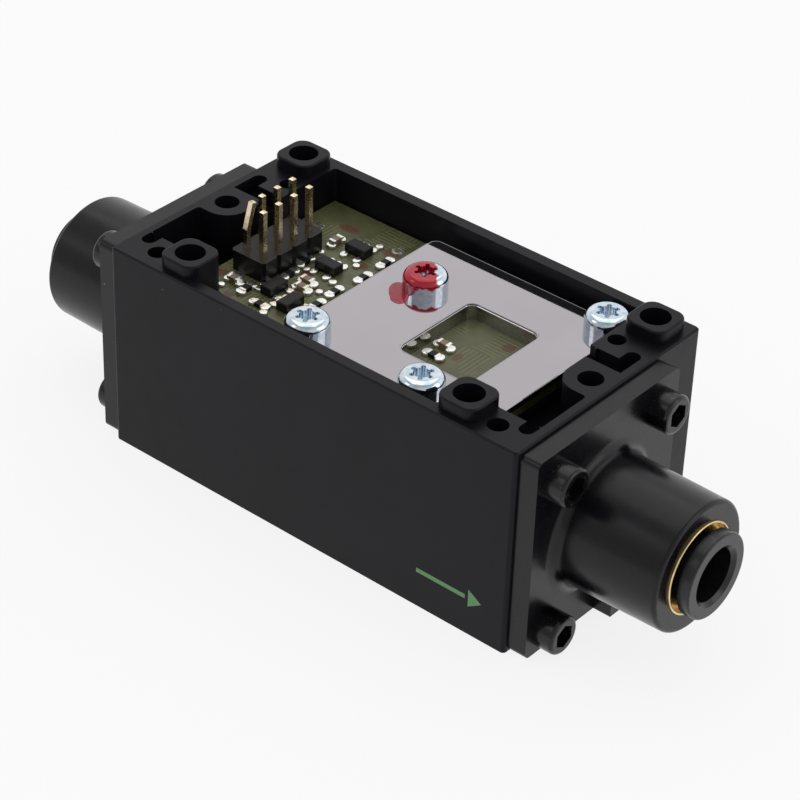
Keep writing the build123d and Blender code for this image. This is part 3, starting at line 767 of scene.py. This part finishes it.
class MeterSizes(bpy.types.PropertyGroup):
    """Sizes of the trim that only the scene has."""

    arrow_length: length("Arrow length", "Printed flow arrow, tip to tail", 9.0)
    arrow_height: length("Arrow height", "Printed flow arrow's head", 2.3)
    arrow_stroke: length("Arrow stroke", "Printed flow arrow's line", 0.55)
    ink_thickness: length("Ink thickness", "How far the print stands proud", 0.02)
    drop_radius: length("Varnish drop", "Length of the drop of varnish on the plate, halved", 2.1)
    joint_radius: length("Solder joint", "Radius of a solder joint's foot", 0.57)
    joint_height: length("Solder height", "Height of a solder joint", 0.42)
    edge_radius: length("Edge bead", "Radius of the bead on the plate's edges", 0.14)
    floor_reach: length("Floor", "Half the width of the studio floor", 3000.0)


class MeterLights(bpy.types.PropertyGroup):
    """Strengths of the studio's lights."""

    fill: bpy.props.FloatProperty(
        name="Fill", description="Strength of the light from all round", default=0.62, min=0.0, max=2.0
    )
    top: power("Top softbox", "Power of the softbox overhead", 1.3)
    side: power("Side softbox", "Power of the softbox on the outlet side", 0.5)
    front: power("Front softbox", "Power of the small softbox in front", 0.22)


class METER_OT_body(bpy.types.Operator):
    """Finishes the moulded body"""

    bl_idname = "meter.body"
    bl_label = "Body"

    def execute(self, context):
        paint_node("housing", moulded_body_plastic(context.scene.meter_colours))
        return {"FINISHED"}


class METER_OT_ports(bpy.types.Operator):
    """Finishes the port fittings, their cartridges and their screws"""

    bl_idname = "meter.ports"
    bl_label = "Ports"

    def execute(self, context):
        colours = context.scene.meter_colours
        finishes = {
            "port": polished_port_plastic(colours),
            "release_collet": collet_plastic(colours),
            "brass_sleeve": turned_brass(colours),
            "grip_ring": spring_steel(),
            "port_seal": rubber(),
            "tube_seal": rubber(),
            "flange_screws": black_oxide(colours),
        }
        for end in ("outlet", "inlet"):
            for part, material in finishes.items():
                paint_node(f"{end}_{part}", material)
        return {"FINISHED"}


class METER_OT_flow_parts(bpy.types.Operator):
    """Finishes the parts inside the flow passage"""

    bl_idname = "meter.flow_parts"
    bl_label = "Flow parts"

    def execute(self, context):
        steel = screen_steel()
        for name in ("flow_element", "inlet_screen", "outlet_screen"):
            paint_node(name, steel)
        spacer = moulding_compound("moulded spacer plastic", "202022", 0.35, 0.5)
        for name in ("inlet_spacer", "outlet_spacer"):
            paint_node(name, spacer)
        paint_node("sensor_gasket", rubber())
        return {"FINISHED"}


class METER_OT_plate(bpy.types.Operator):
    """Finishes the clamp plate, the frame under it and their screws"""

    bl_idname = "meter.plate"
    bl_label = "Clamp plate"

    def execute(self, context):
        colours = context.scene.meter_colours
        steel = mirror_steel(colours)
        paint_node("clamp_plate", steel)
        paint_node("spacer_frame", polished_steel_walls(colours))
        paint_node("plate_screws", zinc_plate(colours))
        self.roll_edges(context, steel)
        return {"FINISHED"}

    def roll_edges(self, context, steel):
        """Rounds the plate's pressed edges with a bright bead along the outline of its top face."""
        name = "plate_rolled_edge"
        radius = context.scene.meter_sizes.edge_radius
        edge = bpy.data.objects.new(name, frame["nodes"]["clamp_plate"].data.copy())
        context.collection.objects.link(edge)
        clear_selection()
        edge.select_set(True)
        context.view_layer.objects.active = edge
        bpy.ops.object.mode_set(mode="EDIT")
        bpy.ops.mesh.select_mode(type="FACE")
        bpy.ops.mesh.select_all(action="SELECT")
        bpy.ops.mesh.remove_doubles(threshold=1e-6)
        # the top face's outline is kept as bare edges, and the rest goes
        select_faces(lambda middle, normal: middle.z > PLATE_TOP - 0.01 * MM and normal.z > 0.9)
        bpy.ops.mesh.region_to_loop()
        bpy.ops.mesh.select_all(action="INVERT")
        bpy.ops.mesh.delete(type="EDGE")
        bpy.ops.object.mode_set(mode="OBJECT")
        bpy.ops.object.convert(target="CURVE")
        edge = context.object
        edge.data.bevel_depth = radius
        edge.data.bevel_resolution = 3
        # low enough that most of the bead is in the plate
        edge.location.z = -0.7 * radius
        bpy.ops.object.convert(target="MESH")
        edge = context.object
        apply_place(edge)
        outward(edge)
        edge.name = name
        finish_piece(edge, steel)


class METER_OT_board(bpy.types.Operator):
    """Finishes the circuit board, the header and the small parts"""

    bl_idname = "meter.board"
    bl_label = "Circuit board"

    def execute(self, context):
        colours = context.scene.meter_colours
        paint_node("circuit_board", solder_mask(colours))
        paint_node("header_body", moulding_compound("moulded header nylon", "0C0C0D", 0.3, 0.45))
        paint_node("header_pins", gold_plate(colours))
        chips = moulding_compound("epoxy moulding compound", "121213", 0.35, 0.55)
        for name in ("package_bodies", "chip_resistors", "sensor_chip"):
            paint_node(name, chips)
        paint_node("chip_capacitors", fired_ceramic(colours))
        for name in ("package_leads", "chip_caps"):
            paint_node(name, bright_solder(colours))
        return {"FINISHED"}


class METER_OT_flow_arrow(bpy.types.Operator):
    """Prints the flow arrow on the front face, near the outlet"""

    bl_idname = "meter.flow_arrow"
    bl_label = "Flow arrow"

    def execute(self, context):
        sizes = context.scene.meter_sizes
        tip = Vector((ARROW_TIP[0] * MM, FRONT_FACE, ARROW_TIP[1] * MM))
        upright = Matrix.Rotation(math.radians(90), 4, "X")
        head = sizes.arrow_height * HEAD_SHARE
        # the line starts a quarter of the head's length behind the head
        line_end = head * 1.25
        clear_selection()
        bpy.ops.mesh.primitive_circle_add(vertices=3, radius=1.0, fill_type="NGON", location=(0, 0, 0))
        triangle = context.object
        # a three-cornered circle points along +Y, so it is turned to +X and stretched to the head's size
        triangle.matrix_world = (
            Matrix.Translation(tip - Vector((head * 2 / 3, 0, 0)))
            @ upright
            @ Matrix.Rotation(math.radians(-90), 4, "Z")
            @ Matrix.Diagonal((sizes.arrow_height / 2 / math.cos(math.radians(30)), head * 2 / 3, 1, 1))
        )
        clear_selection()
        bpy.ops.mesh.primitive_plane_add(size=1.0, location=(0, 0, 0))
        stroke = context.object
        run = sizes.arrow_length - line_end
        stroke.matrix_world = (
            Matrix.Translation(tip - Vector((line_end + run / 2, 0, 0)))
            @ upright
            @ Matrix.Diagonal((run, sizes.arrow_stroke, 1, 1))
        )
        arrow = joined([triangle, stroke], "flow_arrow")
        bpy.ops.object.mode_set(mode="EDIT")
        bpy.ops.mesh.select_all(action="SELECT")
        bpy.ops.mesh.extrude_region_move(TRANSFORM_OT_translate={"value": (0, -sizes.ink_thickness, 0)})
        bpy.ops.object.mode_set(mode="OBJECT")
        outward(arrow)
        finish_piece(arrow, printing_ink(context.scene.meter_colours))
        return {"FINISHED"}


class METER_OT_varnish(bpy.types.Operator):
    """Adds the drop of locking varnish that ran from one screw onto the plate"""

    bl_idname = "meter.varnish"
    bl_label = "Varnish drop"

    def execute(self, context):
        sizes = context.scene.meter_sizes
        x, y = ((screw + shift) * MM for screw, shift in zip(VARNISHED_SCREW, DROP_SHIFT))
        half_width = sizes.drop_radius * DROP_WIDTH_SHARE
        clear_selection()
        bpy.ops.mesh.primitive_uv_sphere_add(segments=48, ring_count=16, radius=1.0, location=(0, 0, 0))
        drop = context.object
        bpy.ops.object.mode_set(mode="EDIT")
        bpy.ops.mesh.select_all(action="SELECT")
        # a flat foot, and one end drawn out to the side, as it ran
        bpy.ops.mesh.bisect(plane_co=(0, 0, -0.2), plane_no=(0, 0, 1), clear_inner=True, use_fill=True)
        select_faces(lambda middle, normal: middle.x > 0.5)
        bpy.ops.transform.translate(value=(0.15, -0.1, 0.0))
        bpy.ops.mesh.select_all(action="SELECT")
        bpy.ops.mesh.vertices_smooth(factor=0.4, repeat=2)
        bpy.ops.object.mode_set(mode="OBJECT")
        drop.matrix_world = (
            Matrix.Translation((x, y, PLATE_TOP + DROP_LIFT * MM))
            @ Matrix.Rotation(DROP_TURN, 4, "Z")
            @ Matrix.Diagonal((sizes.drop_radius, half_width, DROP_THICKNESS * MM, 1))
        )
        apply_place(drop)
        drop.name = "varnish_drop"
        outward(drop)
        bpy.ops.object.shade_smooth()
        finish_piece(drop, red_varnish(context.scene.meter_colours))
        return {"FINISHED"}


class METER_OT_solder(bpy.types.Operator):
    """Adds the solder joints at the small parts' leads and ends"""

    bl_idname = "meter.solder"
    bl_label = "Solder joints"

    def execute(self, context):
        sizes = context.scene.meter_sizes
        clear_selection()
        # one joint is modelled 2 across and 1 high, and copied to size
        bpy.ops.mesh.primitive_cylinder_add(vertices=16, radius=1.0, depth=1.0, location=(0, 0, 0.5))
        pattern = context.object
        apply_place(pattern)
        bpy.ops.object.mode_set(mode="EDIT")
        select_faces(lambda middle, normal: normal.z > 0.9)
        # the top is narrowed and raised, and its edges rounded, to a low dome
        bpy.ops.mesh.inset(thickness=0.25)
        bpy.ops.transform.resize(value=(0.85, 0.85, 1.0))
        bpy.ops.transform.translate(value=(0, 0, 0.1))
        bpy.ops.mesh.select_all(action="SELECT")
        bpy.ops.mesh.bevel(offset=0.16, segments=3, profile=0.4)
        bpy.ops.object.mode_set(mode="OBJECT")
        spots = []
        foot = BOARD_TOP - SOLDER_SINK * MM
        radius, height = sizes.joint_radius, sizes.joint_height
        for x, y, turn in PACKAGES:
            spin = Matrix.Rotation(math.radians(turn), 2)
            for lead in PACKAGE_LEADS:
                toe = spin @ Vector((lead[0], lead[1] + math.copysign(LEAD_TOE, lead[1])))
                # narrower, longer and lower than a chip's
                size = (radius * 0.85, radius * 1.15, height * 0.8)
                spots.append(((x + toe.x) * MM, (y + toe.y) * MM, foot, math.radians(turn), size))
        for x, y, turn in CAPACITORS + RESISTORS:
            spin = Matrix.Rotation(math.radians(turn), 2)
            for side in (-1, 1):
                end = spin @ Vector((side * CHIP_REACH, 0.0))
                size = (radius, radius * 1.2, height)
                spots.append(((x + end.x) * MM, (y + end.y) * MM, foot, math.radians(turn), size))
        for x, y, share in TEST_POINTS:
            size = (radius * share, radius * share, height * share)
            spots.append((x * MM, y * MM, foot, 0.0, size))
        solder = joined(copy_to(pattern, spots), "solder_joints")
        outward(solder)
        bpy.ops.object.shade_smooth()
        finish_piece(solder, bright_solder(context.scene.meter_colours))
        return {"FINISHED"}


class METER_OT_pads(bpy.types.Operator):
    """Adds the round plated pads round the board's empty holes"""

    bl_idname = "meter.pads"
    bl_label = "Round pads"

    def execute(self, context):
        clear_selection()
        bpy.ops.mesh.primitive_circle_add(vertices=32, radius=1.0, fill_type="NGON", location=(0, 0, 0))
        pattern = context.object
        bpy.ops.object.mode_set(mode="EDIT")
        bpy.ops.mesh.select_all(action="SELECT")
        bpy.ops.mesh.inset(thickness=0.5)
        bpy.ops.mesh.delete(type="FACE")
        bpy.ops.mesh.select_all(action="SELECT")
        bpy.ops.mesh.extrude_region_move(TRANSFORM_OT_translate={"value": (0, 0, 1.0)})
        bpy.ops.object.mode_set(mode="OBJECT")
        spots = []
        for x, y, radius in ROUND_PADS:
            size = (radius * MM, radius * MM, PAD_THICKNESS * MM)
            spots.append((x * MM, y * MM, BOARD_TOP, 0.0, size))
        pads = joined(copy_to(pattern, spots), "round_pads")
        outward(pads)
        finish_piece(pads, bright_solder(context.scene.meter_colours))
        return {"FINISHED"}


class METER_OT_stage(bpy.types.Operator):
    """Sets up the floor, the lights, the backdrop and the camera"""

    bl_idname = "meter.stage"
    bl_label = "Studio"

    def execute(self, context):
        scene = context.scene
        self.make_floor(scene)
        self.make_world(scene)
        for name, (spot, width) in SOFTBOXES.items():
            self.make_light(f"{name} softbox", spot, width, getattr(scene.meter_lights, name))
        self.make_camera(scene)
        scene.view_settings.view_transform = "Standard"
        return {"FINISHED"}

    def make_floor(self, scene):
        """Wide white floor that keeps a faint shadow of the meter."""
        clear_selection()
        bpy.ops.mesh.primitive_plane_add(size=2 * scene.meter_sizes.floor_reach, location=(0, 0, 0))
        floor = bpy.context.object
        floor.name = "studio_floor"
        material, tree = new_material("painted studio floor")
        faint = mottled(tree, 300.0, scene.meter_colours.floor, linear("F1F1F1"))
        paint = add_node(
            tree,
            "ShaderNodeBsdfPrincipled",
            {"Base Color": faint, "Roughness": 0.9, "Specular IOR Level": 0.1},
        )
        # most of the floor's look is backdrop white; the rest is paint, which keeps the shadow
        share = add_node(
            tree, "ShaderNodeMath", {0: self.seen_straight(tree), 1: FLOOR_WHITE}, operation="MULTIPLY"
        )
        white = add_node(tree, "ShaderNodeEmission", {"Color": WHITE, "Strength": 1.0})
        mixed = add_node(tree, "ShaderNodeMixShader", {0: share, 1: paint, 2: white})
        add_node(tree, "ShaderNodeOutputMaterial", {"Surface": mixed})
        floor.data.materials.append(material)

    def seen_straight(self, tree):
        """1 where the camera, a mirror or glass looks at a surface, and 0 where light falls on it."""
        rays = add_node(tree, "ShaderNodeLightPath").outputs
        seen = rays["Is Camera Ray"]
        for kind in ("Is Glossy Ray", "Is Transmission Ray"):
            seen = add_node(tree, "ShaderNodeMath", {0: seen, 1: rays[kind]}, operation="MAXIMUM")
        return seen

    def make_world(self, scene):
        """Even light from all round; the backdrop seen straight, in metal or in glass is white."""
        world = bpy.data.worlds.new("studio backdrop")
        scene.world = world
        world.use_nodes = True
        tree = world.node_tree
        tree.nodes.clear()
        straight = add_node(tree, "ShaderNodeLightPath").outputs["Is Camera Ray"]
        direction = add_node(tree, "ShaderNodeTexCoord").outputs["Generated"]
        axes = add_node(tree, "ShaderNodeSeparateXYZ", {"Vector": direction})
        # in reflections the studio is darker in front of the meter and overhead
        behind = add_node(
            tree,
            "ShaderNodeMapRange",
            {"Value": axes.outputs["Y"], "From Min": -1.0, "From Max": 0.6, "To Min": 0.5, "To Max": 1.0},
        )
        over = add_node(
            tree,
            "ShaderNodeMapRange",
            {"Value": axes.outputs["Z"], "From Min": 0.55, "From Max": 0.95, "To Min": 1.0, "To Max": 0.6},
        )
        dimmed = add_node(tree, "ShaderNodeMath", {0: behind, 1: over}, operation="MULTIPLY")
        level = add_node(tree, "ShaderNodeMath", {0: straight, 1: dimmed}, operation="MAXIMUM")
        white = add_node(tree, "ShaderNodeBackground", {"Color": WHITE, "Strength": level})
        fill = {"Color": WHITE, "Strength": scene.meter_lights.fill}
        light = add_node(tree, "ShaderNodeBackground", fill)
        mixed = add_node(tree, "ShaderNodeMixShader", {0: self.seen_straight(tree), 1: light, 2: white})
        add_node(tree, "ShaderNodeOutputWorld", {"Surface": mixed})

    def make_light(self, name, spot, width, watts):
        """A square softbox that faces the meter."""
        lamp = bpy.data.lights.new(name, "AREA")
        lamp.shape = "SQUARE"
        lamp.size = width
        lamp.energy = watts
        light = bpy.data.objects.new(name, lamp)
        bpy.context.scene.collection.objects.link(light)
        light.location = spot
        light.rotation_euler = (LIGHT_TARGET - Vector(spot)).to_track_quat("-Z", "Y").to_euler()

    def make_camera(self, scene):
        """Camera solved from the photograph: where it stood, which way it faced and its lens."""
        lens = bpy.data.cameras.new("camera")
        lens.sensor_width = 36.0
        lens.lens = 126.42
        lens.clip_start, lens.clip_end = 0.01, 50.0
        camera = bpy.data.objects.new("camera", lens)
        scene.collection.objects.link(camera)
        right = Vector((0.760960, 0.648050, 0.031166))
        up = Vector((-0.390546, 0.419174, 0.819614))
        back = Vector((0.518087, -0.635865, 0.572067))
        turn = Matrix((right, up, back)).transposed().to_4x4()
        camera.matrix_world = Matrix.Translation((0.164755, -0.201627, 0.192581)) @ turn
        scene.camera = camera


class METER_PT_panel(bpy.types.Panel):
    """Buttons and values for the meter"""

    bl_idname = "METER_PT_panel"
    bl_label = "Gas mass flow meter"
    bl_space_type = "VIEW_3D"
    bl_region_type = "UI"
    bl_category = "Flow meter"

    def draw(self, context):
        column = self.layout.column()
        for step in STEPS:
            column.operator(step.bl_idname)
        for group in (context.scene.meter_colours, context.scene.meter_sizes, context.scene.meter_lights):
            for name in group.__annotations__:
                column.prop(group, name)


STEPS = (
    METER_OT_body,
    METER_OT_ports,
    METER_OT_flow_parts,
    METER_OT_plate,
    METER_OT_board,
    METER_OT_flow_arrow,
    METER_OT_varnish,
    METER_OT_solder,
    METER_OT_pads,
    METER_OT_stage,
)
CLASSES = (MeterColours, MeterSizes, MeterLights, *STEPS, METER_PT_panel)


def register():
    for item in CLASSES:
        bpy.utils.register_class(item)
    bpy.types.Scene.meter_colours = bpy.props.PointerProperty(type=MeterColours)
    bpy.types.Scene.meter_sizes = bpy.props.PointerProperty(type=MeterSizes)
    bpy.types.Scene.meter_lights = bpy.props.PointerProperty(type=MeterLights)


def unregister():
    del bpy.types.Scene.meter_lights
    del bpy.types.Scene.meter_sizes
    del bpy.types.Scene.meter_colours
    for item in reversed(CLASSES):
        bpy.utils.unregister_class(item)


def main():
    """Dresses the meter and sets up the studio."""
    register()
    bpy.ops.meter.body()
    bpy.ops.meter.ports()
    bpy.ops.meter.flow_parts()
    bpy.ops.meter.plate()
    bpy.ops.meter.board()
    bpy.ops.meter.flow_arrow()
    bpy.ops.meter.varnish()
    bpy.ops.meter.solder()
    bpy.ops.meter.pads()
    bpy.ops.meter.stage()
    clear_selection()


if __name__ == "__main__":
    main()
